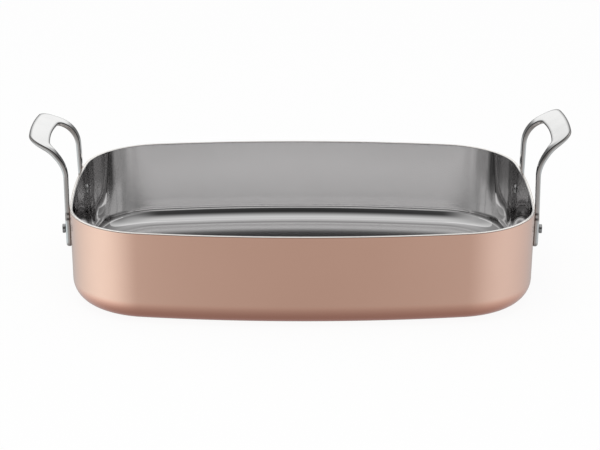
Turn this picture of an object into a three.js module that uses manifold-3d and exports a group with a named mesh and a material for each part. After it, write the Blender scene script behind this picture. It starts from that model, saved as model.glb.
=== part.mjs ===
// Clad copper roasting pan: a copper shell, an aluminium core and a steel liner nested in one another,
// with a cast steel handle riveted to each short side.
// Millimetres, +Z up, origin on the underside at the middle of the pan, +X along its length.
import * as THREE from "three";
import { mergeVertices } from "three/addons/utils/BufferGeometryUtils.js";
import Module from "manifold-3d";

const { degToRad, lerp } = THREE.MathUtils;

// Pan body, measured outside
const RIM_LENGTH = 391;
const RIM_WIDTH = 266.4;
const PAN_HEIGHT = 77.8;
const LONG_SIDE_RADIUS = 945; // the bow of the long sides in plan
const SHORT_SIDE_RADIUS = 700; // the bow of the short sides in plan
const CORNER_RADIUS = 70;
const BASE_FILLET = 18; // between the wall and the base
const WALL_DRAFT = degToRad(0.8); // the walls open towards the rim

// Layers of the clad sheet, from the outside in
const COPPER_THICKNESS = 0.5;
const ALUMINIUM_THICKNESS = 1.2;
const STEEL_THICKNESS = 0.5;
const BOND_GAP = 0.1; // keeps the bonded layers apart as solids

// Rivets
const RIVET_FROM_CORNER = 7.5; // along the short side, from where it runs into the corner
const RIVET_DROP = 20.3; // from the rim down to the rivets
const SHANK_RADIUS = 2.7;
const SHANK_CLEARANCE = 0.3;
const INNER_HEAD_RADIUS = 4.4;
const INNER_HEAD_HEIGHT = 1.8;
const OUTER_HEAD_RADIUS = 3.8;
const OUTER_HEAD_HEIGHT = 2.5;
const OUTER_HEAD_CHAMFER = 0.4;
const SEAT_GAP = 0.3; // between a foot or a rivet head and what it bears on

// Handles, each a strap that runs up the wall from its feet and bends outwards into a grip
const STRAP_THICKNESS = 4;
const WAIST_THICKNESS = 4.7; // where the legs run into the grip
const EDGE_THICKNESS = 3; // at the free edge of the grip
const STRAP_CHAMFER = 0.8;
const FOOT_WIDTH = 14;
const FOOT_CORNER = 5;
const FOOT_BELOW_RIVET = 15;
const FOOT_ABOVE_RIVET = 8; // up to where the foot starts to narrow
const SHOULDER_LENGTH = 8; // over which the foot narrows to the leg
const LEG_WIDTH = 7;
const OPENING_CORNER = 5; // of the finger opening, under the grip
const GRIP_LENGTH = 18; // from the opening to the free edge
const GRIP_CORNER = 11;
const GRIP_BOW = 2; // how far the free edge and the opening's edge arch outwards

// How far each place of the strap lies inside the line of its rivet, towards the middle of the handle
const LEG_DRAW_IN = 4; // the middle of a leg, where it starts to bend
const WAIST_OUTER_DRAW_IN = 4.5; // the outer edge, where a leg runs into the grip
const WAIST_INNER_DRAW_IN = 13.5;
const OPENING_DRAW_IN = 20; // the corner of the finger opening
const GRIP_DRAW_IN = 13; // the corner of the free edge

// How each handle is bent: the right-hand one stands a little more upright
const LEFT_LEG_RISE = 22.2; // from the rim up to where the legs start to bend
const LEFT_BEND_RADIUS = 28; // on the face towards the pan
const LEFT_BEND = degToRad(65);
const LEFT_LEAN = WALL_DRAFT; // of the legs, away from the pan
const RIGHT_LEG_RISE = 23.7;
const RIGHT_BEND_RADIUS = 31;
const RIGHT_BEND = degToRad(57.5);
const RIGHT_LEAN = degToRad(-0.2);

// Facets
const CORNER_STEPS = 7;
const LONG_SIDE_STEPS = 8;
const SHORT_SIDE_STEPS = 6;
const FILLET_STEPS = 5;
const RIVET_STEPS = 20;
const DOME_STEPS = 4;
const ROUND_STEPS = 3;
const FOOT_STEPS = 2;
const LEG_STEPS = 2;
const BEND_STEPS = 7;
const GRIP_STEPS = 3;

// Sizes that follow
const WALL_THICKNESS = COPPER_THICKNESS + ALUMINIUM_THICKNESS + STEEL_THICKNESS + 2 * BOND_GAP;
const LONG_SIDE_CENTRE = new THREE.Vector2(0, RIM_WIDTH / 2 - LONG_SIDE_RADIUS);
const SHORT_SIDE_CENTRE = new THREE.Vector2(RIM_LENGTH / 2 - SHORT_SIDE_RADIUS, 0);
const CORNER_CENTRE = cornerCentre();
const SHORT_SIDE_END = CORNER_CENTRE.clone().sub(SHORT_SIDE_CENTRE).angle();
const LONG_SIDE_END = CORNER_CENTRE.clone().sub(LONG_SIDE_CENTRE).angle();
const RIVET_HEIGHT = PAN_HEIGHT - RIVET_DROP;
const RIVET_ACROSS = SHORT_SIDE_RADIUS * SHORT_SIDE_END - RIVET_FROM_CORNER; // from the middle of the wall
const RIVET_ANGLE = RIVET_ACROSS / SHORT_SIDE_RADIUS;

const wasm = await Module();
wasm.setup();

// A closed geometry as a solid that can be cut.
function solidFrom(geometry) {
  const bare = new THREE.BufferGeometry().setAttribute("position", geometry.getAttribute("position"));
  bare.setIndex(geometry.getIndex());
  const merged = mergeVertices(bare);
  const vertProperties = merged.getAttribute("position").array;
  const triVerts = new Uint32Array(merged.getIndex().array);
  return new wasm.Manifold(new wasm.Mesh({ numProp: 3, vertProperties, triVerts }));
}

function geometryFrom(solid) {
  const { vertProperties, triVerts } = solid.getMesh();
  const geometry = new THREE.BufferGeometry();
  geometry.setAttribute("position", new THREE.BufferAttribute(vertProperties, 3));
  geometry.setIndex(new THREE.BufferAttribute(triVerts, 1));
  geometry.computeVertexNormals();
  return geometry;
}

// Joins loops of points, all with as many points, into one closed skin. The loops run anticlockwise
// seen from the end where the skin stops, and each end is closed by a fan.
function skinLoops(loops) {
  const count = loops[0].length;
  const points = loops.flat();
  const triangles = [];
  for (let ring = 0; ring + 1 < loops.length; ring++) {
    for (let i = 0; i < count; i++) {
      const next = (i + 1) % count;
      const [a, b] = [ring * count + i, ring * count + next];
      const [c, d] = [a + count, b + count];
      triangles.push(a, b, d, a, d, c);
    }
  }
  for (const [loop, first, flip] of [[loops[0], 0, true], [loops.at(-1), points.length - count, false]]) {
    const middle = points.length;
    points.push(loop.reduce((sum, p) => sum.add(p), new THREE.Vector3()).divideScalar(count));
    for (let i = 0; i < count; i++) {
      const [a, b] = [first + i, first + ((i + 1) % count)];
      triangles.push(...(flip ? [middle, b, a] : [middle, a, b]));
    }
  }
  const geometry = new THREE.BufferGeometry().setFromPoints(points);
  geometry.setIndex(triangles);
  return geometry;
}

// The arc of a corner touches the arcs of the two sides beside it, which fixes its centre.
function cornerCentre() {
  const toLong = LONG_SIDE_RADIUS - CORNER_RADIUS;
  const toShort = SHORT_SIDE_RADIUS - CORNER_RADIUS;
  const between = SHORT_SIDE_CENTRE.clone().sub(LONG_SIDE_CENTRE);
  const apart = between.length();
  const along = (toLong ** 2 - toShort ** 2 + apart ** 2) / (2 * apart);
  const across = Math.sqrt(toLong ** 2 - along ** 2);
  const unit = between.divideScalar(apart);
  const square = new THREE.Vector2(unit.y, -unit.x);
  return LONG_SIDE_CENTRE.clone().addScaledVector(unit, along).addScaledVector(square, across);
}

// The plan outline as eight arcs, each with the range of directions that it faces.
function planArcs() {
  const [corner, shortEnd, longEnd] = [CORNER_CENTRE, SHORT_SIDE_END, LONG_SIDE_END];
  const arcs = [];
  for (const turn of [0, Math.PI]) {
    const side = turn ? -1 : 1;
    arcs.push(
      { x: side * SHORT_SIDE_CENTRE.x, y: 0, radius: SHORT_SIDE_RADIUS, steps: SHORT_SIDE_STEPS,
        from: turn - shortEnd, to: turn + shortEnd },
      { x: side * corner.x, y: side * corner.y, radius: CORNER_RADIUS, steps: CORNER_STEPS,
        from: turn + shortEnd, to: turn + longEnd },
      { x: 0, y: side * LONG_SIDE_CENTRE.y, radius: LONG_SIDE_RADIUS, steps: LONG_SIDE_STEPS,
        from: turn + longEnd, to: turn + Math.PI - longEnd },
      { x: -side * corner.x, y: side * corner.y, radius: CORNER_RADIUS, steps: CORNER_STEPS,
        from: turn + Math.PI - longEnd, to: turn + Math.PI - shortEnd },
    );
  }
  return arcs;
}

const PLAN_ARCS = planArcs();

// The plan outline drawn in by inset, at height z.
function planLoop({ inset, z }) {
  return PLAN_ARCS.flatMap(({ x, y, radius, from, to, steps }) =>
    Array.from({ length: steps }, (_, i) => {
      const angle = from + ((to - from) * i) / steps;
      const reach = radius - inset;
      return new THREE.Vector3(x + reach * Math.cos(angle), y + reach * Math.sin(angle), z);
    }),
  );
}

// Wall and fillet at a depth inside the pan's outer surface, from the base up to the rim.
function wallProfile(depth) {
  const slope = Math.tan(WALL_DRAFT);
  const middle = (PAN_HEIGHT - BASE_FILLET) * slope + BASE_FILLET / Math.cos(WALL_DRAFT);
  const radius = BASE_FILLET - depth;
  const sweep = Math.PI / 2 - WALL_DRAFT;
  const fillet = Array.from({ length: FILLET_STEPS + 1 }, (_, i) => {
    const angle = Math.PI / 2 - (sweep * i) / FILLET_STEPS;
    return { inset: middle - radius * Math.cos(angle), z: BASE_FILLET - radius * Math.sin(angle) };
  });
  return [...fillet, { inset: depth / Math.cos(WALL_DRAFT), z: PAN_HEIGHT }];
}

// One layer of the pan, between two depths, with its rivet holes drilled.
function layerGeometry(outerDepth, innerDepth, drills) {
  const profile = [...wallProfile(outerDepth), ...wallProfile(innerDepth).reverse()];
  const blank = solidFrom(skinLoops(profile.map(planLoop)));
  return geometryFrom(drills.reduce((solid, drill) => solid.subtract(drill), blank));
}

// The frame of a rivet on the right-hand wall: +X runs out along the rivet, from the wall's outer face.
function rivetFrame(end) {
  const swing = new THREE.Group();
  swing.position.x = SHORT_SIDE_CENTRE.x;
  swing.rotation.z = end * RIVET_ANGLE;
  const seat = new THREE.Group();
  seat.position.set(SHORT_SIDE_RADIUS - RIVET_DROP * Math.tan(WALL_DRAFT), 0, RIVET_HEIGHT);
  seat.rotation.y = WALL_DRAFT;
  swing.add(seat);
  return { swing, seat };
}

// A drill that passes through the wall and the foot at one rivet, on the side turned by turn.
function rivetDrill(end, turn) {
  const { swing, seat } = rivetFrame(end);
  const side = new THREE.Group().add(swing);
  side.rotation.z = turn;
  side.updateMatrixWorld(true);
  const reach = 2 * (WALL_THICKNESS + SEAT_GAP + STRAP_THICKNESS);
  const radius = SHANK_RADIUS + SHANK_CLEARANCE;
  const drill = new THREE.CylinderGeometry(radius, radius, 2 * reach, RIVET_STEPS);
  drill.rotateZ(-Math.PI / 2).applyMatrix4(seat.matrixWorld);
  drill.deleteAttribute("normal");
  drill.deleteAttribute("uv");
  return solidFrom(drill);
}

// A rivet with a domed head inside the pan and a flat head outside the foot, along +X.
function rivetGeometry() {
  const domeBase = -WALL_THICKNESS - SEAT_GAP;
  const headBase = STRAP_THICKNESS + 2 * SEAT_GAP;
  const headTop = headBase + OUTER_HEAD_HEIGHT;
  const domeRadius = (INNER_HEAD_RADIUS ** 2 + INNER_HEAD_HEIGHT ** 2) / (2 * INNER_HEAD_HEIGHT);
  const domeAngle = Math.asin(INNER_HEAD_RADIUS / domeRadius);
  const dome = Array.from({ length: DOME_STEPS + 1 }, (_, i) => {
    const angle = (domeAngle * i) / DOME_STEPS;
    const depth = INNER_HEAD_HEIGHT - domeRadius * (1 - Math.cos(angle));
    return new THREE.Vector2(domeRadius * Math.sin(angle), domeBase - depth);
  });
  const profile = [
    ...dome,
    new THREE.Vector2(SHANK_RADIUS, domeBase),
    new THREE.Vector2(SHANK_RADIUS, headBase),
    new THREE.Vector2(OUTER_HEAD_RADIUS, headBase),
    new THREE.Vector2(OUTER_HEAD_RADIUS, headTop - OUTER_HEAD_CHAMFER),
    new THREE.Vector2(OUTER_HEAD_RADIUS - OUTER_HEAD_CHAMFER, headTop),
    new THREE.Vector2(0, headTop),
  ];
  return new THREE.LatheGeometry(profile, RIVET_STEPS).rotateZ(-Math.PI / 2);
}

// A handle's strap as runs that follow one another from the foot's lower edge, each with a length and a
// turn away from the pan, and the places along it that its outline uses.
function strapOf({ rise, radius, bend, lean }) {
  const footTop = FOOT_BELOW_RIVET + FOOT_ABOVE_RIVET;
  const legStart = footTop + SHOULDER_LENGTH;
  const bendStart = FOOT_BELOW_RIVET + RIVET_DROP + rise;
  const bendEnd = bendStart + radius * bend;
  const openingEnd = bendEnd - GRIP_BOW;
  const runs = [
    { length: footTop, turn: 0 },
    { length: SHOULDER_LENGTH, turn: lean - WALL_DRAFT },
    { length: bendStart - legStart, turn: 0 },
    { length: bendEnd - bendStart, turn: bend },
    { length: 2 * GRIP_LENGTH, turn: 0 },
  ];
  return {
    runs, footTop, legStart, bendStart, openingEnd,
    waist: bendEnd - (bendEnd - bendStart) / 3,
    freeEdge: openingEnd + GRIP_LENGTH,
  };
}

// A point of the strap: across it, along it, and deep from the face that is towards the pan.
// The strap is curved in plan like the short side that it stands against.
function strapPoint(strap, across, along, deep) {
  let lean = WALL_DRAFT;
  let height = RIVET_HEIGHT - FOOT_BELOW_RIVET * Math.cos(lean);
  let reach =
    SEAT_GAP / Math.cos(lean) - RIVET_DROP * Math.tan(lean) - FOOT_BELOW_RIVET * Math.sin(lean);
  let left = along;
  for (const { length, turn } of strap.runs) {
    const step = Math.min(left, length);
    const turned = (turn * step) / length;
    const chord = turned ? (2 * step * Math.sin(turned / 2)) / turned : step;
    reach += chord * Math.sin(lean + turned / 2);
    height += chord * Math.cos(lean + turned / 2);
    lean += turned;
    left -= step;
  }
  const radius = SHORT_SIDE_RADIUS + reach + deep * Math.cos(lean);
  const angle = across / SHORT_SIDE_RADIUS;
  return new THREE.Vector3(
    SHORT_SIDE_CENTRE.x + radius * Math.cos(angle),
    radius * Math.sin(angle),
    height - deep * Math.sin(lean),
  );
}

function thicknessAt({ bendStart, waist, freeEdge }, along) {
  if (along < waist) {
    const share = Math.max(along - bendStart, 0) / (waist - bendStart);
    return lerp(STRAP_THICKNESS, WAIST_THICKNESS, share);
  }
  return lerp(WAIST_THICKNESS, EDGE_THICKNESS, (along - waist) / (freeEdge - waist));
}

// Points of a curve after its start.
function stepsOf(curve, steps) {
  return curve.getPoints(steps).slice(1);
}

// One edge of a leg in the strap's own plane, from the foot's lower edge to the middle of the grip.
// Side is 1 for the outer edge and -1 for the edge of the finger opening.
function legEdge({ footTop, legStart, bendStart, waist, openingEnd, freeEdge }, side) {
  const at = (across, along) => new THREE.Vector2(across, along);
  const footSide = RIVET_ACROSS + (side * FOOT_WIDTH) / 2;
  const legFoot = at(RIVET_ACROSS + (side * LEG_WIDTH) / 2, legStart);
  const legTop = at(RIVET_ACROSS - LEG_DRAW_IN + (side * LEG_WIDTH) / 2, bendStart);
  const waistSide = at(RIVET_ACROSS - (side > 0 ? WAIST_OUTER_DRAW_IN : WAIST_INNER_DRAW_IN), waist);
  const [width, corner, end] = side > 0
    ? [RIVET_ACROSS - GRIP_DRAW_IN, GRIP_CORNER, freeEdge]
    : [RIVET_ACROSS - OPENING_DRAW_IN, OPENING_CORNER, openingEnd];
  const cornerTip = at(width, end);
  const cornerStart = cornerTip.clone().lerp(waistSide, corner / (end - waist));
  const cornerEnd = at(width - corner, end + GRIP_BOW * (1 - (1 - corner / width) ** 2));
  const foot = new THREE.EllipseCurve(
    footSide - side * FOOT_CORNER, FOOT_CORNER, FOOT_CORNER, FOOT_CORNER,
    -Math.PI / 2, side > 0 ? 0 : -Math.PI, side < 0);
  const shoulder = new THREE.CubicBezierCurve(
    at(footSide, footTop), at(footSide, footTop + SHOULDER_LENGTH / 2),
    at(legFoot.x, legStart - SHOULDER_LENGTH / 2), legFoot);
  const bend = new THREE.CubicBezierCurve(
    legTop, legTop.clone().lerp(legFoot, -1 / 4),
    waistSide.clone().lerp(cornerStart, -1 / 2), waistSide);
  const free = new THREE.QuadraticBezierCurve(
    cornerEnd, at(cornerEnd.x / 2, end + GRIP_BOW), at(0, end + GRIP_BOW));
  return [
    ...foot.getPoints(ROUND_STEPS),
    ...stepsOf(new THREE.LineCurve(at(footSide, FOOT_CORNER), at(footSide, footTop)), FOOT_STEPS),
    ...stepsOf(shoulder, ROUND_STEPS),
    ...stepsOf(new THREE.LineCurve(legFoot, legTop), LEG_STEPS),
    ...stepsOf(bend, BEND_STEPS),
    ...stepsOf(new THREE.LineCurve(waistSide, cornerStart), GRIP_STEPS),
    ...stepsOf(new THREE.QuadraticBezierCurve(cornerStart, cornerTip, cornerEnd), ROUND_STEPS),
    ...stepsOf(free, GRIP_STEPS),
  ];
}

// The section of the strap between an inner and an outer edge point, with chamfered edges.
function strapSection(strap, inner, outer) {
  const chamfer = STRAP_CHAMFER / inner.distanceTo(outer);
  const face = [chamfer, 1 / 3, 2 / 3, 1 - chamfer];
  const point = (share, deepOf) => {
    const place = inner.clone().lerp(outer, share);
    return strapPoint(strap, place.x, place.y, deepOf(thicknessAt(strap, place.y)));
  };
  const front = () => 0;
  const frontEdge = () => STRAP_CHAMFER;
  const backEdge = (thickness) => thickness - STRAP_CHAMFER;
  const back = (thickness) => thickness;
  return [
    ...face.map((share) => point(share, front)), point(1, frontEdge), point(1, backEdge),
    ...face.toReversed().map((share) => point(share, back)), point(0, backEdge), point(0, frontEdge),
  ];
}

// A whole handle as it stands on the right-hand side, drilled for its rivets.
function handleGeometry(bending, drills) {
  const strap = strapOf(bending);
  const outer = legEdge(strap, 1);
  const inner = legEdge(strap, -1);
  const half = outer.map((point, i) => strapSection(strap, inner[i], point));
  const mirrored = half.slice(0, -1).map((section) => section.map((p) => p.clone().setY(-p.y)));
  const blank = solidFrom(skinLoops([...mirrored, ...half.toReversed()]));
  return geometryFrom(drills.reduce((solid, drill) => solid.subtract(drill), blank));
}

const material = (color, roughness) => new THREE.MeshStandardMaterial({ color, roughness, metalness: 1 });
const copper = material(0xd79a7c, 0.28);
const aluminium = material(0xc8cacc, 0.4);
const linerSteel = material(0xb4b2b0, 0.15);
const castSteel = material(0xd2d2d0, 0.12);
const rivetSteel = material(0x9c9c9a, 0.3);

const ENDS = [-1, 1];
const SIDES = [
  { side: "right", turn: 0, rise: RIGHT_LEG_RISE, radius: RIGHT_BEND_RADIUS, bend: RIGHT_BEND,
    lean: RIGHT_LEAN },
  { side: "left", turn: Math.PI, rise: LEFT_LEG_RISE, radius: LEFT_BEND_RADIUS, bend: LEFT_BEND,
    lean: LEFT_LEAN },
];

function named(name, geometry, finish) {
  const mesh = new THREE.Mesh(geometry, finish);
  mesh.name = name;
  return mesh;
}

function buildPan() {
  const pan = new THREE.Group();
  const drills = SIDES.flatMap(({ turn }) => ENDS.map((end) => rivetDrill(end, turn)));
  const layers = [
    ["copper_shell", COPPER_THICKNESS, copper],
    ["aluminium_core", ALUMINIUM_THICKNESS, aluminium],
    ["steel_liner", STEEL_THICKNESS, linerSteel],
  ];
  let depth = 0;
  for (const [name, thickness, finish] of layers) {
    pan.add(named(name, layerGeometry(depth, depth + thickness, drills), finish));
    depth += thickness + BOND_GAP;
  }
  return pan;
}

function buildHandles() {
  const handles = new THREE.Group();
  const drills = ENDS.map((end) => rivetDrill(end, 0));
  const rivet = rivetGeometry();
  for (const { side, turn, ...bending } of SIDES) {
    const mounted = new THREE.Group();
    mounted.rotation.z = turn;
    mounted.add(named(`handle_${side}`, handleGeometry(bending, drills), castSteel));
    for (const end of ENDS) {
      const { swing, seat } = rivetFrame(end);
      const place = end * Math.cos(turn) < 0 ? "front" : "rear";
      seat.add(named(`rivet_${side}_${place}`, rivet, rivetSteel));
      mounted.add(swing);
    }
    handles.add(mounted);
  }
  return handles;
}

const roastingPan = new THREE.Group();
roastingPan.add(buildPan(), buildHandles());

export default roastingPan;
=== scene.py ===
from math import asin, atan2, cos, pi, radians, sin, sqrt, tan

import bmesh
import bpy
from mathutils import Matrix, Vector


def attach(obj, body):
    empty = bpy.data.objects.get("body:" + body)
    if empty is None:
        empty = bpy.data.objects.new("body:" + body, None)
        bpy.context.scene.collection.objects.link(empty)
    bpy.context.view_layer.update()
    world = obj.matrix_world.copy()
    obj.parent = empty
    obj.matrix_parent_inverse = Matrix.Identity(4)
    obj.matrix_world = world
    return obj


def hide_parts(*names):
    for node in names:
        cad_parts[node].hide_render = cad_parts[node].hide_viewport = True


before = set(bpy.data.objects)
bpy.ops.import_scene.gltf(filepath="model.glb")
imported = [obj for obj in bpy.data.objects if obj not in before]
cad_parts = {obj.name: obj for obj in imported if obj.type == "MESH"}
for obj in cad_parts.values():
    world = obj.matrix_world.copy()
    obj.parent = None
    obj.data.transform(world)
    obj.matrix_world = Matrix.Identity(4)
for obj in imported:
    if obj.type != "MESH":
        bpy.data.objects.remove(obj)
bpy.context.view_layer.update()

# Sizes of the clad sheet, in metres
MM = 0.001
RIM_LENGTH = 391 * MM
RIM_WIDTH = 266.4 * MM
PAN_HEIGHT = 77.8 * MM
LONG_SIDE_RADIUS = 945 * MM
SHORT_SIDE_RADIUS = 700 * MM
CORNER_RADIUS = 70 * MM
BASE_FILLET = 18 * MM
WALL_DRAFT = radians(0.8)
COPPER_THICKNESS = 0.5 * MM
ALUMINIUM_THICKNESS = 1.2 * MM
STEEL_THICKNESS = 0.5 * MM
BOND_GAP = 0.1 * MM
RIM_ROUNDING = 0.06 * MM
FLOOR_BORDER = 2 * MM  # flat strip between a floor's fillet and its one large face
HOLD = 0.8 * MM  # flat strip that keeps a wall true beside a curve
SEAM = 0.02 * MM  # how near two points are merged where a sweep closes
TOUCH = 0.001 * MM  # how near two points of a small piece are merged, or count as level

# Sizes of the rivets
RIVET_FROM_CORNER = 7.5 * MM
RIVET_DROP = 20.3 * MM
SHANK_RADIUS = 2.7 * MM
INNER_HEAD_RADIUS = 4.4 * MM
INNER_HEAD_HEIGHT = 1.8 * MM
OUTER_HEAD_RADIUS = 3.8 * MM
OUTER_HEAD_HEIGHT = 2.5 * MM
HEAD_ROUNDING = 0.45 * MM
SEAT_GAP = 0.3 * MM

# Sizes of the handles' strap
STRAP_THICKNESS = 4 * MM
WAIST_THICKNESS = 4.7 * MM
EDGE_THICKNESS = 3 * MM
OUTER_ROUNDING = 2.2 * MM
INNER_ROUNDING = 0.7 * MM
# where the painted dark line of shade lies on the strap's inner face: the width of its strip, and the height
# below which it runs
EDGE_LINE = 0.5 * MM
EDGE_LINE_TOP = 0.9 * INNER_ROUNDING
FOOT_WIDTH = 14 * MM
FOOT_CORNER = 5 * MM
FOOT_BELOW_RIVET = 15 * MM
FOOT_ABOVE_RIVET = 8 * MM
SHOULDER_LENGTH = 8 * MM
LEG_WIDTH = 7 * MM
OPENING_CORNER = 5 * MM
GRIP_LENGTH = 18 * MM
GRIP_CORNER = 11 * MM
GRIP_BOW = 2 * MM
LEG_DRAW_IN = 4 * MM
WAIST_OUTER_DRAW_IN = 4.5 * MM
WAIST_INNER_DRAW_IN = 13.5 * MM
OPENING_DRAW_IN = 20 * MM
GRIP_DRAW_IN = 13 * MM
WAIST_SHARE = 1 / 3  # how far before the bend's end the waist lies, as a share of the bend
QUARTER_ARM = 0.552  # share of a corner at which a control point makes a curve a quarter circle
LEG_ARM = -1 / 4  # how far the leg's line runs on into the bend, as a share of the leg
WAIST_ARM = -1 / 2  # how far the grip's side runs back into the bend, as a share of that side

# How each handle is bent, and which way it is turned about the pan's middle
HANDLES = {
    "right": dict(turn=0, rise=23.7 * MM, radius=31 * MM, bend=radians(57.5), lean=radians(-0.2)),
    "left": dict(turn=pi, rise=22.2 * MM, radius=28 * MM, bend=radians(65), lean=WALL_DRAFT),
}

# Where the camera stands, with angles in radians, and its framing in a 600 by 450 picture
AIM = Vector((0, 0, 40 * MM))
CAMERA_DISTANCE = 1600 * MM
LOOK_DOWN = 0.338234
SWING = 0.009997
ROLL = 0.004114
FOCAL_PIXELS = 1847.05
PICTURE_WIDTH = 600
SENSOR_WIDTH = 36
FRAMING_RIGHT = 1.876  # pixels that the object sits off the middle
FRAMING_DOWN = 1.872

# Places that follow from the sizes
WALL_THICKNESS = COPPER_THICKNESS + ALUMINIUM_THICKNESS + STEEL_THICKNESS + 2 * BOND_GAP
LONG_CENTRE = Vector((0, RIM_WIDTH / 2 - LONG_SIDE_RADIUS))
SHORT_CENTRE = Vector((RIM_LENGTH / 2 - SHORT_SIDE_RADIUS, 0))


def find_corner_centre():
    """Middle of the corner arc that runs into the bowed long side and the bowed short side."""
    to_long = LONG_SIDE_RADIUS - CORNER_RADIUS
    to_short = SHORT_SIDE_RADIUS - CORNER_RADIUS
    between = SHORT_CENTRE - LONG_CENTRE
    along = (to_long**2 - to_short**2 + between.length**2) / (2 * between.length)
    across = sqrt(to_long**2 - along**2)
    unit = between.normalized()
    return LONG_CENTRE + unit * along + Vector((-unit.y, unit.x)) * -across


CORNER_CENTRE = find_corner_centre()
SHORT_END = atan2(CORNER_CENTRE.y, CORNER_CENTRE.x - SHORT_CENTRE.x)
LONG_END = atan2(CORNER_CENTRE.y - LONG_CENTRE.y, CORNER_CENTRE.x)
RIVET_HEIGHT = PAN_HEIGHT - RIVET_DROP
RIVET_ACROSS = SHORT_SIDE_RADIUS * SHORT_END - RIVET_FROM_CORNER
RIVET_ANGLE = RIVET_ACROSS / SHORT_SIDE_RADIUS
FILLET_INSET = (PAN_HEIGHT - BASE_FILLET) * tan(WALL_DRAFT) + BASE_FILLET / cos(WALL_DRAFT)


# Drawing a section in the x-z plane with one moving point
def start_at(bm, x, z):
    return bmesh.ops.create_vert(bm, co=(x, 0, z))["vert"][0]


def line_to(bm, tip, x, z):
    end = bmesh.ops.extrude_vert_indiv(bm, verts=[tip])["verts"][0]
    end.co = (x, 0, z)
    return end


def arc_about(bm, tip, x, z, angle, steps):
    swept = bmesh.ops.spin(bm, geom=[tip], cent=(x, 0, z), axis=(0, 1, 0), angle=angle, steps=steps)
    return next(g for g in swept["geom_last"] if isinstance(g, bmesh.types.BMVert))


def finish_piece(bm, node, material):
    """Makes a modelled mesh the piece that stands for a CAD node."""
    mesh = bpy.data.meshes.new(node)
    bm.to_mesh(mesh)
    bm.free()
    mesh.materials.append(material)
    mesh.polygons.foreach_set("use_smooth", [True] * len(mesh.polygons))
    piece = bpy.data.objects.new("dressed_" + node, mesh)
    bpy.context.scene.collection.objects.link(piece)
    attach(piece, "root")
    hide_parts(node)
    return piece


# Pan layers
FILLET_STEPS = 24
RIM_STEPS = 3
SHORT_STEPS = 24
CORNER_STEPS = 36
LONG_STEPS = 32


def wall_x(depth, z):
    """How far out a wall face lies from the rim's outer edge, at a depth into the sheet."""
    return -depth / cos(WALL_DRAFT) - (PAN_HEIGHT - z) * tan(WALL_DRAFT)


def draw_layer(bm, near, far):
    """Section of one layer, from its outer face at depth near to its inner face at depth far."""
    sweep = pi / 2 - WALL_DRAFT
    rim = PAN_HEIGHT - RIM_ROUNDING
    near_top = BASE_FILLET - (BASE_FILLET - near) * sin(WALL_DRAFT)
    far_top = BASE_FILLET - (BASE_FILLET - far) * sin(WALL_DRAFT)
    tip = start_at(bm, -FILLET_INSET - FLOOR_BORDER, near)
    tip = line_to(bm, tip, -FILLET_INSET, near)
    tip = arc_about(bm, tip, -FILLET_INSET, BASE_FILLET, -sweep, FILLET_STEPS)
    for z in (near_top + HOLD, rim - HOLD, rim):
        tip = line_to(bm, tip, wall_x(near, z), z)
    tip = arc_about(bm, tip, wall_x(near, rim) - RIM_ROUNDING, rim, -pi / 2, RIM_STEPS)
    tip = line_to(bm, tip, wall_x(far, rim) + RIM_ROUNDING, PAN_HEIGHT)
    tip = arc_about(bm, tip, wall_x(far, rim) + RIM_ROUNDING, rim, -pi / 2, RIM_STEPS)
    for z in (rim - HOLD, far_top + HOLD, far_top):
        tip = line_to(bm, tip, wall_x(far, z), z)
    tip = arc_about(bm, tip, -FILLET_INSET, BASE_FILLET, sweep, FILLET_STEPS)
    line_to(bm, tip, -FILLET_INSET - FLOOR_BORDER, far)


def press_layer(near, far):
    """Sweeps a layer's section round the eight arcs of the plan outline and closes its floors."""
    bm = bmesh.new()
    draw_layer(bm, near, far)
    bmesh.ops.translate(bm, verts=bm.verts, vec=(SHORT_SIDE_RADIUS, 0, 0))
    bmesh.ops.rotate(bm, verts=bm.verts, cent=(0, 0, 0), matrix=Matrix.Rotation(-SHORT_END, 3, "Z"))
    bmesh.ops.translate(bm, verts=bm.verts, vec=(SHORT_CENTRE.x, 0, 0))
    section = bm.verts[:] + bm.edges[:]
    corner = CORNER_CENTRE
    corner_turn = LONG_END - SHORT_END
    for side in (1, -1):
        arcs = [
            (side * SHORT_CENTRE.x, 0, 2 * SHORT_END, SHORT_STEPS),
            (side * corner.x, side * corner.y, corner_turn, CORNER_STEPS),
            (0, side * LONG_CENTRE.y, pi - 2 * LONG_END, LONG_STEPS),
            (-side * corner.x, side * corner.y, corner_turn, CORNER_STEPS),
        ]
        for x, y, angle, steps in arcs:
            swept = bmesh.ops.spin(bm, geom=section, cent=(x, y, 0), axis=(0, 0, 1), angle=angle, steps=steps)
            section = swept["geom_last"]
    bmesh.ops.remove_doubles(bm, verts=bm.verts, dist=SEAM)
    bmesh.ops.holes_fill(bm, edges=[e for e in bm.edges if e.is_boundary], sides=0)
    bmesh.ops.recalc_face_normals(bm, faces=bm.faces)
    return bm


# Rivets
DOME_STEPS = 10
RIVET_STEPS = 48
HEAD_ROUNDING_STEPS = 4
HEAD_RING_ANGLE = radians(40)  # a ring that turns by more than this is rounded


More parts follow.
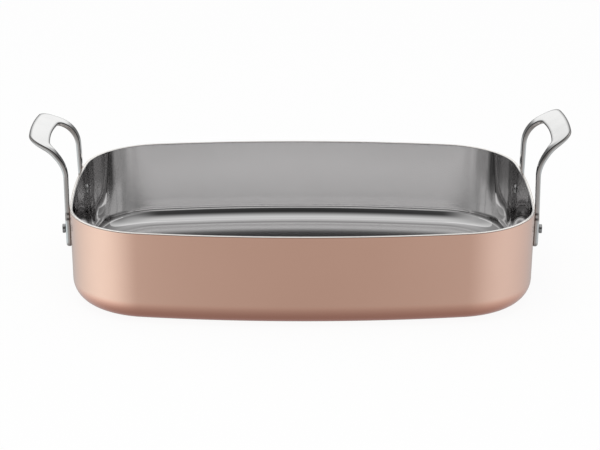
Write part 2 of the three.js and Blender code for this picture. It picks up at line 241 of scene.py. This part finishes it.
def turn_rivet():
    """A rivet on the x axis: the domed head inside the pan, the shank, and the flat head outside."""
    bm = bmesh.new()
    dome_base = -WALL_THICKNESS - SEAT_GAP
    dome_radius = (INNER_HEAD_RADIUS**2 + INNER_HEAD_HEIGHT**2) / (2 * INNER_HEAD_HEIGHT)
    dome_top = dome_base - INNER_HEAD_HEIGHT
    head_base = STRAP_THICKNESS + 2 * SEAT_GAP
    head_top = head_base + OUTER_HEAD_HEIGHT
    tip = start_at(bm, dome_top, 0)
    tip = arc_about(bm, tip, dome_top + dome_radius, 0, asin(INNER_HEAD_RADIUS / dome_radius), DOME_STEPS)
    tip = line_to(bm, tip, dome_base, SHANK_RADIUS)
    tip = line_to(bm, tip, head_base, SHANK_RADIUS)
    tip = line_to(bm, tip, head_base, OUTER_HEAD_RADIUS)
    tip = line_to(bm, tip, head_top, OUTER_HEAD_RADIUS)
    line_to(bm, tip, head_top, 0)
    bmesh.ops.spin(bm, geom=bm.verts[:] + bm.edges[:], cent=(0, 0, 0), axis=(1, 0, 0), angle=2 * pi,
                   steps=RIVET_STEPS, use_merge=True)
    bmesh.ops.remove_doubles(bm, verts=bm.verts, dist=TOUCH)
    bmesh.ops.recalc_face_normals(bm, faces=bm.faces)
    rings = [e for e in bm.edges if e.calc_face_angle(0) > HEAD_RING_ANGLE]
    bmesh.ops.bevel(bm, geom=rings, offset=HEAD_ROUNDING, affect="EDGES", segments=HEAD_ROUNDING_STEPS,
                    profile=0.5, material=-1)
    return bm


def set_rivet(bm, turn, swing):
    """Puts a rivet through the wall at one end of a short side."""
    place = (Matrix.Rotation(turn, 4, "Z") @ Matrix.Translation((SHORT_CENTRE.x, 0, 0))
             @ Matrix.Rotation(swing, 4, "Z")
             @ Matrix.Translation((SHORT_SIDE_RADIUS - RIVET_DROP * tan(WALL_DRAFT), 0, RIVET_HEIGHT))
             @ Matrix.Rotation(WALL_DRAFT, 4, "Y"))
    bmesh.ops.transform(bm, matrix=place, verts=bm.verts)
    return bm


# Handles
CURVE_STEPS = 10
LEG_STEPS = 8
FOOT_CORNER_STEPS = 8
STRAP_COLUMNS = 2
OUTER_ROUNDING_STEPS = 6
INNER_ROUNDING_STEPS = 3
HANDLE_SMOOTHING = 1
STRAP_RIM_ANGLE = radians(60)  # an edge that turns by more than this is part of a rim
BROAD = 0.9  # how squarely a broad face of the flat strap looks into its thickness, at least


def curve_points(points, steps):
    """Points of a curve after its first one, for two, three or four control points."""
    made = []
    for step in range(1, steps + 1):
        row = list(points)
        while len(row) > 1:
            row = [a.lerp(b, step / steps) for a, b in zip(row, row[1:])]
        made.append(row[0])
    return made


def strap_places(bent):
    """Distances along the strap, from the foot's lower edge, at which its form changes."""
    foot_top = FOOT_BELOW_RIVET + FOOT_ABOVE_RIVET
    bend_start = FOOT_BELOW_RIVET + RIVET_DROP + bent["rise"]
    bend_end = bend_start + bent["radius"] * bent["bend"]
    return dict(foot_top=foot_top, leg_start=foot_top + SHOULDER_LENGTH, bend_start=bend_start,
                bend_end=bend_end, waist=bend_end - WAIST_SHARE * (bend_end - bend_start),
                opening_end=bend_end - GRIP_BOW, free_edge=bend_end - GRIP_BOW + GRIP_LENGTH)


def strap_edge(bent, side):
    """One edge of the flat strap from foot to middle of the grip: side 1 is the outer edge, -1 the inner."""
    place = strap_places(bent)
    outer = side > 0
    width = RIVET_ACROSS - (GRIP_DRAW_IN if outer else OPENING_DRAW_IN)
    corner = GRIP_CORNER if outer else OPENING_CORNER
    end = place["free_edge"] if outer else place["opening_end"]
    foot_side = RIVET_ACROSS + side * FOOT_WIDTH / 2
    foot_corner = Vector((foot_side, 0))
    foot_start = Vector((foot_side - side * FOOT_CORNER, 0))
    foot_round = Vector((foot_side, FOOT_CORNER))
    foot_end = Vector((foot_side, place["foot_top"]))
    leg_foot = Vector((RIVET_ACROSS + side * LEG_WIDTH / 2, place["leg_start"]))
    leg_top = Vector((RIVET_ACROSS - LEG_DRAW_IN + side * LEG_WIDTH / 2, place["bend_start"]))
    waist_in = WAIST_OUTER_DRAW_IN if outer else WAIST_INNER_DRAW_IN
    waist = Vector((RIVET_ACROSS - waist_in, place["waist"]))
    tip = Vector((width, end))
    corner_start = tip.lerp(waist, corner / (end - place["waist"]))
    corner_end = Vector((width - corner, end + GRIP_BOW * (1 - (1 - corner / width)**2)))
    bow_control = Vector((corner_end.x / 2, end + GRIP_BOW))
    middle = Vector((0, end + GRIP_BOW))
    shoulder = Vector((0, SHOULDER_LENGTH / 2))
    foot_curve = [foot_start, foot_start.lerp(foot_corner, QUARTER_ARM),
                  foot_round.lerp(foot_corner, QUARTER_ARM), foot_round]
    runs = [
        (foot_curve, FOOT_CORNER_STEPS),
        ([foot_round, foot_end], LEG_STEPS),
        ([foot_end, foot_end + shoulder, leg_foot - shoulder, leg_foot], CURVE_STEPS),
        ([leg_foot, leg_top], LEG_STEPS),
        ([leg_top, leg_top.lerp(leg_foot, LEG_ARM), waist.lerp(corner_start, WAIST_ARM), waist],
         2 * CURVE_STEPS),
        ([waist, corner_start], LEG_STEPS),
        ([corner_start, tip, corner_end], CURVE_STEPS),
        ([corner_end, bow_control, middle], CURVE_STEPS),
    ]
    return [foot_start] + [p for points, steps in runs for p in curve_points(points, steps)]


def round_rim(bm, height, offset, segments):
    """Rounds the rim of one broad face of the flat strap, and gives the faces that the rounding makes."""
    sharp = [e for e in bm.edges if e.calc_face_angle(0) > STRAP_RIM_ANGLE]
    rim = [e for e in sharp if all(abs(v.co.z - height) < TOUCH for v in e.verts)]
    rounded = bmesh.ops.bevel(bm, geom=rim, offset=offset, affect="EDGES", segments=segments, profile=0.5,
                              material=-1)
    return set(rounded["faces"])


def mark_finish(bm, crisp):
    """Marks the crisp rim of the strap's inner face, which carries a painted dark line of shade, and its
    satin sides, which carry painted shade.
    """
    bm.normal_update()
    inner = [f for f in bm.faces if f not in crisp and f.normal.z < -BROAD]
    bmesh.ops.inset_region(bm, faces=inner, thickness=EDGE_LINE, use_even_offset=True)
    edge_shade = bm.verts.layers.float.new("edge_shade")
    satin_shaded_side = bm.verts.layers.float.new("satin_shaded_side")
    for vert in bm.verts:
        on_rim = any(f in crisp for f in vert.link_faces)
        on_side = any(abs(f.normal.z) < BROAD and f not in crisp for f in vert.link_faces)
        vert[edge_shade] = 1 if on_rim and vert.co.z < EDGE_LINE_TOP else 0
        vert[satin_shaded_side] = 1 if on_side else 0


def cut_strap(bent):
    """The flat strap as cast, before its bend: x runs across the handle, y along it, z into its thickness."""
    bm = bmesh.new()
    pairs = list(zip(strap_edge(bent, -1), strap_edge(bent, 1)))
    ends = [bmesh.ops.create_vert(bm, co=(*p, 0))["vert"][0] for p in pairs[0]]
    rung = bmesh.ops.contextual_create(bm, geom=ends)["edges"][0]
    rungs = [rung]
    for (inner, outer), (last_inner, last_outer) in zip(pairs[1:], pairs):
        made = bmesh.ops.extrude_edge_only(bm, edges=[rung])["geom"]
        rung = next(g for g in made if isinstance(g, bmesh.types.BMEdge))
        rungs.append(rung)
        for vert in rung.verts:
            nearer_inner = (vert.co.xy - last_inner).length < (vert.co.xy - last_outer).length
            vert.co.xy = inner if nearer_inner else outer
    bmesh.ops.subdivide_edges(bm, edges=rungs, cuts=STRAP_COLUMNS - 1, use_grid_fill=True)
    bmesh.ops.mirror(bm, geom=bm.verts[:] + bm.edges[:] + bm.faces[:], axis="X", merge_dist=TOUCH)
    bmesh.ops.recalc_face_normals(bm, faces=bm.faces)
    thick = bmesh.ops.extrude_face_region(bm, geom=bm.faces[:], use_keep_orig=True)["geom"]
    lifted = [g for g in thick if isinstance(g, bmesh.types.BMVert)]
    bmesh.ops.translate(bm, verts=lifted, vec=(0, 0, STRAP_THICKNESS))
    bmesh.ops.recalc_face_normals(bm, faces=bm.faces)
    round_rim(bm, STRAP_THICKNESS, OUTER_ROUNDING, OUTER_ROUNDING_STEPS)
    mark_finish(bm, round_rim(bm, 0, INNER_ROUNDING, INNER_ROUNDING_STEPS))
    return bm


def strap_thickness(place, along):
    """How thick the strap is: full in the leg, most at the waist, least at the grip's free edge."""
    if along < place["bend_start"]:
        return STRAP_THICKNESS
    if along < place["waist"]:
        share = (along - place["bend_start"]) / (place["waist"] - place["bend_start"])
        return STRAP_THICKNESS + share * (WAIST_THICKNESS - STRAP_THICKNESS)
    share = (along - place["waist"]) / (place["free_edge"] - place["waist"])
    return WAIST_THICKNESS + share * (EDGE_THICKNESS - WAIST_THICKNESS)


def bend_point(bent, place, flat):
    """Where a point of the flat strap lies once the strap is bent and stands on the right short side."""
    past_grip = 2 * GRIP_LENGTH  # longer than what is left after the bend
    runs = [
        (place["foot_top"], 0),
        (SHOULDER_LENGTH, bent["lean"] - WALL_DRAFT),
        (place["bend_start"] - place["leg_start"], 0),
        (place["bend_end"] - place["bend_start"], bent["bend"]),
        (past_grip, 0),
    ]
    across, along, deep = flat
    lean = WALL_DRAFT
    left = along
    height = RIVET_HEIGHT - FOOT_BELOW_RIVET * cos(lean)
    reach = SEAT_GAP / cos(lean) - RIVET_DROP * tan(lean) - FOOT_BELOW_RIVET * sin(lean)
    for length, turn in runs:
        step = min(left, length)
        turned = turn * step / length
        chord = 2 * step * sin(turned / 2) / turned if turned else step
        reach += chord * sin(lean + turned / 2)
        height += chord * cos(lean + turned / 2)
        lean += turned
        left -= step
    deep *= strap_thickness(place, along) / STRAP_THICKNESS
    radius = SHORT_SIDE_RADIUS + reach + deep * cos(lean)
    angle = across / SHORT_SIDE_RADIUS
    return Vector((SHORT_CENTRE.x + radius * cos(angle), radius * sin(angle), height - deep * sin(lean)))


def bend_handle(bent):
    """A whole handle at its end of the pan."""
    bm = cut_strap(bent)
    place = strap_places(bent)
    for vert in bm.verts:
        vert.co = bend_point(bent, place, vert.co)
    bmesh.ops.rotate(bm, verts=bm.verts, cent=(0, 0, 0), matrix=Matrix.Rotation(bent["turn"], 3, "Z"))
    bmesh.ops.recalc_face_normals(bm, faces=bm.faces)
    return bm


def add_subdivision(piece, levels):
    smooth = piece.modifiers.new("smooth", "SUBSURF")
    smooth.levels = levels
    smooth.render_levels = levels


# Metals: detail of the shared wear
LINE_DETAIL = 3
LINE_RELIEF = 0.02 * MM
LINES_IN_GLOSS = 0.35  # how much the polishing lines add to the haze in a metal's roughness
HAZE_DETAIL = 4
HAZE_GRAIN = 0.55
HAZE_FROM = 0.35  # level of the noise at which haze starts, and at which it is full
HAZE_TO = 0.7

# Metals: tones and roughness of single zones, and the heights or distances between which they come in
# painted reflection: the copper turns redder towards the base, standing in for copper-tinted light mirrored
# back from the table
PAINTED_BASE_REFLECTION_TONE = (0.93, 0.4, 0.29, 1)
PAINTED_BASE_REFLECTION_SPAN = (19 * MM, 5 * MM)
# painted shadow: a dark brown line on the copper just below the rim
RIM_SHADOW_TONE = (0.42, 0.29, 0.23, 1)
RIM_SHADOW_SPAN = (PAN_HEIGHT - 0.9 * MM, PAN_HEIGHT - 0.5 * MM)
# painted highlight: the copper's rounded top edge is made near white
RIM_HIGHLIGHT_TONE = (0.98, 0.93, 0.88, 1)
RIM_HIGHLIGHT_SPAN = (PAN_HEIGHT - 0.12 * MM, PAN_HEIGHT - 0.06 * MM)
LACQUER_WEIGHT = 0.6
LACQUER_ROUGHNESS = 0.2
# painted light: the liner is made lighter across its long walls and floor, away from the short ends; the long
# walls are also rougher
LONG_WALL_PAINTED_LIGHT_TONE = (0.865, 0.86, 0.86, 1)
LONG_WALL_PAINTED_LIGHT_SHARE = 0.5
LONG_WALL_ROUGHNESS = 0.16
LONG_WALLS = (173 * MM, 160 * MM)
FILLET_ROUGHNESS = 0.02
LINER_FILLET = (26 * MM, 19 * MM)
FLOOR_ROUGHNESS = 0.17
LINER_FLOOR = (3.4 * MM, 2.6 * MM)
# the strap's sides are satin, rougher, and carry painted shade: a darker, warmer tone
CAST_SIDE_SHADE_TONE = (0.62, 0.585, 0.565, 1)
CAST_SIDE_ROUGHNESS = 0.24
# painted shade: a near-black line along the rim of the strap's inner face
EDGE_SHADE_TONE = (0.06, 0.06, 0.06, 1)


def link_all(tree, *pairs):
    for source, target in pairs:
        tree.links.new(source, target)


def build_polish_group():
    """Shared wear of polished metal: fine polishing lines, and a soft haze from washing and handling."""
    group = bpy.data.node_groups.new("polished_metal", "ShaderNodeTree")
    for name, kind in (("Line spacing", "NodeSocketVector"), ("Haze size", "NodeSocketFloat"),
                       ("Clean tone", "NodeSocketColor"), ("Hazy tone", "NodeSocketColor"),
                       ("Clean roughness", "NodeSocketFloat"), ("Hazy roughness", "NodeSocketFloat")):
        group.interface.new_socket(name, in_out="INPUT", socket_type=kind)
    for name, kind in (("Colour", "NodeSocketColor"), ("Roughness", "NodeSocketFloat"),
                       ("Lines", "NodeSocketFloat")):
        group.interface.new_socket(name, in_out="OUTPUT", socket_type=kind)
    nodes = group.nodes
    given = nodes.new("NodeGroupInput")
    result = nodes.new("NodeGroupOutput")
    place = nodes.new("ShaderNodeTexCoord")
    stretch = nodes.new("ShaderNodeVectorMath")
    stretch.operation = "MULTIPLY"
    lines = nodes.new("ShaderNodeTexNoise")
    lines.inputs["Scale"].default_value = 1
    lines.inputs["Detail"].default_value = LINE_DETAIL
    haze = nodes.new("ShaderNodeTexNoise")
    haze.inputs["Detail"].default_value = HAZE_DETAIL
    haze.inputs["Roughness"].default_value = HAZE_GRAIN
    spread = nodes.new("ShaderNodeMapRange")
    spread.inputs["From Min"].default_value = HAZE_FROM
    spread.inputs["From Max"].default_value = HAZE_TO
    both = nodes.new("ShaderNodeMath")
    both.operation = "MULTIPLY_ADD"
    both.inputs[1].default_value = LINES_IN_GLOSS
    tone = nodes.new("ShaderNodeMix")
    tone.data_type = "RGBA"
    gloss = nodes.new("ShaderNodeMix")
    gloss.data_type = "FLOAT"
    link_all(
        group,
        (place.outputs["Object"], stretch.inputs[0]),
        (given.outputs["Line spacing"], stretch.inputs[1]),
        (stretch.outputs[0], lines.inputs["Vector"]),
        (place.outputs["Object"], haze.inputs["Vector"]),
        (given.outputs["Haze size"], haze.inputs["Scale"]),
        (haze.outputs["Fac"], spread.inputs["Value"]),
        (lines.outputs["Fac"], both.inputs[0]),
        (spread.outputs["Result"], both.inputs[2]),
        (spread.outputs["Result"], tone.inputs["Factor"]),
        (given.outputs["Clean tone"], tone.inputs["A"]),
        (given.outputs["Hazy tone"], tone.inputs["B"]),
        (both.outputs[0], gloss.inputs["Factor"]),
        (given.outputs["Clean roughness"], gloss.inputs["A"]),
        (given.outputs["Hazy roughness"], gloss.inputs["B"]),
        (tone.outputs["Result"], result.inputs["Colour"]),
        (gloss.outputs["Result"], result.inputs["Roughness"]),
        (lines.outputs["Fac"], result.inputs["Lines"]),
    )
    return group


def polished_metal(name, group, clean, hazy, roughness, spacing, haze_size, line_depth):
    """A metal whose colour, gloss and fine lines come from the shared group with its own values."""
    material = bpy.data.materials.new(name)
    material.use_nodes = True
    tree = material.node_tree
    shader = tree.nodes["Principled BSDF"]
    shader.inputs["Metallic"].default_value = 1
    wear = tree.nodes.new("ShaderNodeGroup")
    wear.node_tree = group
    wear.inputs["Line spacing"].default_value = spacing
    wear.inputs["Haze size"].default_value = haze_size
    wear.inputs["Clean tone"].default_value = (*clean, 1)
    wear.inputs["Hazy tone"].default_value = (*hazy, 1)
    wear.inputs["Clean roughness"].default_value = roughness[0]
    wear.inputs["Hazy roughness"].default_value = roughness[1]
    bump = tree.nodes.new("ShaderNodeBump")
    bump.inputs["Strength"].default_value = line_depth
    bump.inputs["Distance"].default_value = LINE_RELIEF
    link_all(
        tree,
        (wear.outputs["Colour"], shader.inputs["Base Color"]),
        (wear.outputs["Roughness"], shader.inputs["Roughness"]),
        (wear.outputs["Lines"], bump.inputs["Height"]),
        (bump.outputs["Normal"], shader.inputs["Normal"]),
    )
    return material


def bring_over(material, socket, value, factor):
    """Mixes another value into what feeds one socket of a metal, by a factor."""
    tree = material.node_tree
    target = tree.nodes["Principled BSDF"].inputs[socket]
    source = target.links[0].from_socket
    mix = tree.nodes.new("ShaderNodeMix")
    mix.data_type = "FLOAT" if isinstance(value, float) else "RGBA"
    mix.inputs["B"].default_value = value
    link_all(
        tree,
        (factor, mix.inputs["Factor"]),
        (source, mix.inputs["A"]),
        (mix.outputs["Result"], target),
    )


def change_by_place(material, socket, value, axis, span, share=1):
    """Brings in another value across a span of height, or of distance from the pan's middle."""
    tree = material.node_tree
    place = tree.nodes.new("ShaderNodeTexCoord")
    split = tree.nodes.new("ShaderNodeSeparateXYZ")
    distance = tree.nodes.new("ShaderNodeMath")
    distance.operation = "ABSOLUTE"
    reach = tree.nodes.new("ShaderNodeMapRange")
    reach.inputs["From Min"].default_value = span[0]
    reach.inputs["From Max"].default_value = span[1]
    reach.inputs["To Max"].default_value = share
    link_all(
        tree,
        (place.outputs["Object"], split.inputs[0]),
        (split.outputs[axis], distance.inputs[0]),
        (distance.outputs[0], reach.inputs["Value"]),
    )
    bring_over(material, socket, value, reach.outputs["Result"])


def change_by_mark(material, socket, value, mark):
    """Brings in another value where the piece carries a mark."""
    marked = material.node_tree.nodes.new("ShaderNodeAttribute")
    marked.attribute_name = mark
    bring_over(material, socket, value, marked.outputs["Fac"])


# Studio: for each direction, elevations in degrees with their level or colour of light
STUDIO_LIGHT = {
    "front": [
        (-90, 0.28), (-60, 0.33), (-40, 0.39), (-28, 0.445), (-20, 0.465), (-8, 0.52), (-3, 0.52),
        (2, 0.42), (6, 0.23), (12, 0.08), (20, 0.05), (36, 0.03), (42, 0.05), (50, 0.2), (58, 0.42),
        (66, 0.58), (76, 0.8), (82, 0.76), (88, 0.7),
    ],
    "behind": [
        (-90, 0.28), (-60, 0.3), (-40, 0.42), (-28, 0.48), (-18, 0.45), (-13, 0.36), (-9, 0.1), (-1, 0.08),
        (5, 0.12), (9, 0.5), (13, 1), (17, 1.05), (30, 1), (50, 0.97), (78, 1), (84, 1.08), (88, 0.7),
    ],
    "rear corners": [
        (-90, 0.28), (-12, 0.45), (-4, 0.28), (9, 0.22), (14, 0.8), (18, 1), (30, 1), (50, 0.95),
        (70, 0.92), (84, 1), (88, 0.7),
    ],
    "left": [
        (-90, 0.28), (-55, 0.45), (-32, (0.85, 0.92, 0.95)), (-20, (1, 1.2, 1.28)),
        (-12, (0.88, 0.94, 0.97)), (-6, 0.55), (0, 0.34), (10, 0.25), (14, 0.36), (15.9, 0.4), (16.4, 0.66),
        (17.1, 0.66), (17.5, 0.48), (26, 0.46), (45, 0.5), (60, 0.6), (74, 0.7), (88, 0.7),
    ],
    "right": [
        (-90, 0.28), (-55, 0.45), (-32, (0.68, 0.73, 0.75)), (-20, (0.78, 0.9, 0.98)),
        (-12, (0.74, 0.78, 0.8)), (-6, 0.55), (0, 0.37), (10, 0.25), (14, 0.3), (15.9, 0.32), (16.4, 0.64),
        (17.1, 0.64), (17.5, 0.38), (20, 0.3), (26, 0.26), (32, 0.36), (45, 0.47), (60, 0.58), (74, 0.72),
        (88, 0.7),
    ],
}
SWEEP_WRAP = 0.27  # how far the sweep behind comes forward at the sides
BAND_ELEVATION = radians(18.4)  # a narrow band in which the sweep takes the place of the side cards
BAND_HALF_WIDTH = 0.02  # in the sine of elevation
BAND_FORWARD = 0.05  # how much further forward the sweep comes in that band
HALFWAY_GAIN = 4  # makes a share times the rest of it 1 when the share is a half
CORNER_FOOT = -0.15  # sine of the elevation at which the rear corners start
ROOM_TONE = (0.7, 0.7, 0.7, 1)
WHITE = (1, 1, 1, 1)

# Studio: table, lamp, and how often light is mirrored between the walls
TABLE_REACH = 6
TABLE_DROP = 0.4 * MM
TABLE_TONE = (0.9, 0.9, 0.9, 1)
TABLE_WHITE_SHARE = 0.93  # how much of the table's look is plain white; the rest takes the shadow
LAMP_SIZE = 1.6
LAMP_ENERGY = 16
LAMP_PLACE = Vector((-0.3, -0.4, 2))
GLOSSY_BOUNCES = 8


def elevation_ramp(tree, stops):
    """A ramp of greys or colours over the sine of elevation, from straight down to straight up."""
    ramp = tree.nodes.new("ShaderNodeValToRGB")
    elements = ramp.color_ramp.elements
    while len(elements) > 1:
        elements.remove(elements[-1])
    for number, (degrees, level) in enumerate(stops):
        position = (sin(radians(degrees)) + 1) / 2
        element = elements[0] if number == 0 else elements.new(position)
        element.position = position
        element.color = (*level, 1) if isinstance(level, tuple) else (level, level, level, 1)
    return ramp


def find_seen_rays(tree):
    """Gives two sockets: 1 for camera rays, and 1 for camera rays and rays by way of metal or glass."""
    rays = tree.nodes.new("ShaderNodeLightPath")
    mirrored = tree.nodes.new("ShaderNodeMath")
    mirrored.operation = "ADD"
    seen = tree.nodes.new("ShaderNodeMath")
    seen.operation = "ADD"
    link_all(
        tree,
        (rays.outputs["Is Glossy Ray"], mirrored.inputs[0]),
        (rays.outputs["Is Transmission Ray"], mirrored.inputs[1]),
        (rays.outputs["Is Camera Ray"], seen.inputs[0]),
        (mirrored.outputs[0], seen.inputs[1]),
    )
    return rays.outputs["Is Camera Ray"], seen.outputs[0]


def light_studio():
    """White sweep behind with a dark foot, low cards and thin strips at the sides, a dim room in front."""
    world = bpy.data.worlds.new("studio")
    bpy.context.scene.world = world
    world.use_nodes = True
    tree = world.node_tree
    background = tree.nodes["Background"]
    where = tree.nodes.new("ShaderNodeTexCoord")
    split = tree.nodes.new("ShaderNodeSeparateXYZ")
    height = tree.nodes.new("ShaderNodeMapRange")
    height.inputs["From Min"].default_value = -1
    x = split.outputs["X"]
    z = split.outputs["Z"]
    link_all(tree, (where.outputs["Generated"], split.inputs[0]), (z, height.inputs["Value"]))
    light = {}
    for name, stops in STUDIO_LIGHT.items():
        ramp = elevation_ramp(tree, stops)
        tree.links.new(height.outputs["Result"], ramp.inputs["Fac"])
        light[name] = ramp.outputs["Color"]

    def choose(factor, first, second):
        mix = tree.nodes.new("ShaderNodeMix")
        mix.data_type = "RGBA"
        link_all(tree, (factor, mix.inputs["Factor"]), (first, mix.inputs["A"]), (second, mix.inputs["B"]))
        return mix.outputs["Result"]

    def reckon(operation, *values):
        node = tree.nodes.new("ShaderNodeMath")
        node.operation = operation
        for slot, value in enumerate(values):
            if isinstance(value, (int, float)):
                node.inputs[slot].default_value = value
            else:
                tree.links.new(value, node.inputs[slot])
        return node.outputs[0]

    in_band = reckon("COMPARE", z, sin(BAND_ELEVATION), BAND_HALF_WIDTH)
    band_y = reckon("MULTIPLY_ADD", in_band, BAND_FORWARD, split.outputs["Y"])
    y = reckon("MULTIPLY_ADD", reckon("ABSOLUTE", x), SWEEP_WRAP, band_y)
    x_square = reckon("MULTIPLY", x, x)
    flat_square = reckon("MULTIPLY_ADD", y, y, x_square)
    sideways = reckon("DIVIDE", x_square, flat_square)
    rearward = reckon("GREATER_THAN", y, 0)
    rightward = reckon("GREATER_THAN", x, 0)
    along = choose(rearward, light["front"], light["behind"])
    across = choose(rightward, light["left"], light["right"])
    off_band = reckon("SUBTRACT", 1, reckon("MULTIPLY", in_band, rearward))
    sides = choose(reckon("MULTIPLY", sideways, off_band), along, across)
    both_ways = reckon("MULTIPLY", sideways, reckon("SUBTRACT", 1, sideways))
    between = reckon("MULTIPLY", both_ways, HALFWAY_GAIN)
    aloft = reckon("GREATER_THAN", z, CORNER_FOOT)
    rear_aloft = reckon("MULTIPLY", rearward, aloft)
    in_corner = reckon("MULTIPLY", reckon("MULTIPLY", between, between), rear_aloft)
    studio = choose(in_corner, sides, light["rear corners"])
    from_camera, seen = find_seen_rays(tree)
    room = tree.nodes.new("ShaderNodeRGB")
    room.outputs[0].default_value = ROOM_TONE
    white = tree.nodes.new("ShaderNodeRGB")
    white.outputs[0].default_value = WHITE
    backdrop = choose(from_camera, studio, white.outputs[0])
    whole = choose(seen, room.outputs[0], backdrop)
    tree.links.new(whole, background.inputs["Color"])


def lay_floor():
    """White table top that keeps a light shadow of the pan."""
    bm = bmesh.new()
    bmesh.ops.create_grid(bm, x_segments=1, y_segments=1, size=TABLE_REACH)
    bmesh.ops.translate(bm, verts=bm.verts, vec=(0, 0, -TABLE_DROP))
    mesh = bpy.data.meshes.new("table_top")
    bm.to_mesh(mesh)
    bm.free()
    floor = bpy.data.objects.new("table_top", mesh)
    bpy.context.scene.collection.objects.link(floor)
    floor.visible_glossy = False
    material = bpy.data.materials.new("white_table")
    material.use_nodes = True
    tree = material.node_tree
    tree.nodes.remove(tree.nodes["Principled BSDF"])
    paper = tree.nodes.new("ShaderNodeBsdfDiffuse")
    paper.inputs["Color"].default_value = TABLE_TONE
    glow = tree.nodes.new("ShaderNodeEmission")
    share = tree.nodes.new("ShaderNodeMath")
    share.operation = "MULTIPLY"
    share.inputs[1].default_value = TABLE_WHITE_SHARE
    mix = tree.nodes.new("ShaderNodeMixShader")
    seen = find_seen_rays(tree)[1]
    link_all(
        tree,
        (seen, share.inputs[0]),
        (share.outputs[0], mix.inputs["Fac"]),
        (paper.outputs[0], mix.inputs[1]),
        (glow.outputs[0], mix.inputs[2]),
        (mix.outputs[0], tree.nodes["Material Output"].inputs["Surface"]),
    )
    mesh.materials.append(material)


def hang_lamp():
    """A wide lamp overhead, which gives the table its soft shadow."""
    data = bpy.data.lights.new("overhead", "AREA")
    data.size = LAMP_SIZE
    data.energy = LAMP_ENERGY
    lamp = bpy.data.objects.new("overhead", data)
    lamp.location = LAMP_PLACE
    lamp.rotation_euler = (AIM - LAMP_PLACE).to_track_quat("-Z", "Y").to_euler()
    lamp.visible_glossy = False
    bpy.context.scene.collection.objects.link(lamp)


def stand_camera():
    """The camera at the photograph's viewing angle."""
    data = bpy.data.cameras.new("camera")
    data.sensor_width = SENSOR_WIDTH
    data.lens = FOCAL_PIXELS * SENSOR_WIDTH / PICTURE_WIDTH
    data.shift_x = -FRAMING_RIGHT / PICTURE_WIDTH
    data.shift_y = FRAMING_DOWN / PICTURE_WIDTH
    camera = bpy.data.objects.new("camera", data)
    turned = (Matrix.Rotation(-SWING, 4, "Z") @ Matrix.Rotation(pi / 2 - LOOK_DOWN, 4, "X")
              @ Matrix.Rotation(ROLL, 4, "Z"))
    camera.matrix_world = Matrix.Translation(AIM) @ turned @ Matrix.Translation((0, 0, CAMERA_DISTANCE))
    bpy.context.scene.collection.objects.link(camera)
    bpy.context.scene.camera = camera


stand_camera()
light_studio()
lay_floor()
hang_lamp()

polish = build_polish_group()

copper = polished_metal(
    "polished_copper", polish, clean=(0.93, 0.56, 0.423), hazy=(0.91, 0.545, 0.41),
    roughness=(0.2, 0.25), spacing=(9, 9, 1400), haze_size=14, line_depth=0.12)
# painted reflection: redder copper towards the base
change_by_place(copper, "Base Color", PAINTED_BASE_REFLECTION_TONE, "Z", PAINTED_BASE_REFLECTION_SPAN)
# painted shadow line on the copper below the rim
change_by_place(copper, "Base Color", RIM_SHADOW_TONE, "Z", RIM_SHADOW_SPAN)
# painted highlight on the copper's top edge at the rim
change_by_place(copper, "Base Color", RIM_HIGHLIGHT_TONE, "Z", RIM_HIGHLIGHT_SPAN)
lacquered = copper.node_tree.nodes["Principled BSDF"]
lacquered.inputs["Coat Weight"].default_value = LACQUER_WEIGHT
lacquered.inputs["Coat Roughness"].default_value = LACQUER_ROUGHNESS

core = polished_metal(
    "trimmed_aluminium", polish, clean=(0.98, 0.95, 0.91), hazy=(0.94, 0.91, 0.87),
    roughness=(0.12, 0.2), spacing=(60, 60, 900), haze_size=60, line_depth=0.3)

liner = polished_metal(
    "polished_liner", polish, clean=(0.64, 0.635, 0.635), hazy=(0.62, 0.612, 0.612),
    roughness=(0.01, 0.035), spacing=(12, 900, 900), haze_size=11, line_depth=0.03)
# painted light: lighter liner tone across the long walls and floor
change_by_place(liner, "Base Color", LONG_WALL_PAINTED_LIGHT_TONE, "X", LONG_WALLS, LONG_WALL_PAINTED_LIGHT_SHARE)
change_by_place(liner, "Roughness", LONG_WALL_ROUGHNESS, "X", LONG_WALLS)
change_by_place(liner, "Roughness", FILLET_ROUGHNESS, "Z", LINER_FILLET)
change_by_place(liner, "Roughness", FLOOR_ROUGHNESS, "Z", LINER_FLOOR)

casting = polished_metal(
    "polished_casting", polish, clean=(0.84, 0.84, 0.835), hazy=(0.8, 0.8, 0.795),
    roughness=(0.05, 0.12), spacing=(300, 300, 300), haze_size=45, line_depth=0.05)
change_by_mark(casting, "Roughness", CAST_SIDE_ROUGHNESS, "satin_shaded_side")
# painted shade: darker tone on the strap's sides
change_by_mark(casting, "Base Color", CAST_SIDE_SHADE_TONE, "satin_shaded_side")
# painted shade: dark line along the rim of the strap's inner face
change_by_mark(casting, "Base Color", EDGE_SHADE_TONE, "edge_shade")

rivet_steel = polished_metal(
    "satin_rivet", polish, clean=(0.5, 0.5, 0.5), hazy=(0.4, 0.4, 0.4),
    roughness=(0.2, 0.3), spacing=(900, 900, 900), haze_size=160, line_depth=0.15)

depth = 0
for node, slot, thickness, metal in (
    ("copper_shell", "copper", COPPER_THICKNESS, copper),
    ("aluminium_core", "core_aluminium", ALUMINIUM_THICKNESS, core),
    ("steel_liner", "liner_steel", STEEL_THICKNESS, liner),
):
    finish_piece(press_layer(depth, depth + thickness), node, metal)
    depth += thickness + BOND_GAP

for side, bent in HANDLES.items():
    handle = finish_piece(bend_handle(bent), "handle_" + side, casting)
    add_subdivision(handle, HANDLE_SMOOTHING)
    for end, swing in (("front", -RIVET_ANGLE), ("rear", RIVET_ANGLE)):
        facing = swing if side == "right" else -swing
        rivet = set_rivet(turn_rivet(), bent["turn"], facing)
        finish_piece(rivet, f"rivet_{side}_{end}", rivet_steel)

bpy.context.scene.view_settings.view_transform = "Standard"
bpy.context.scene.cycles.glossy_bounces = GLOSSY_BOUNCES
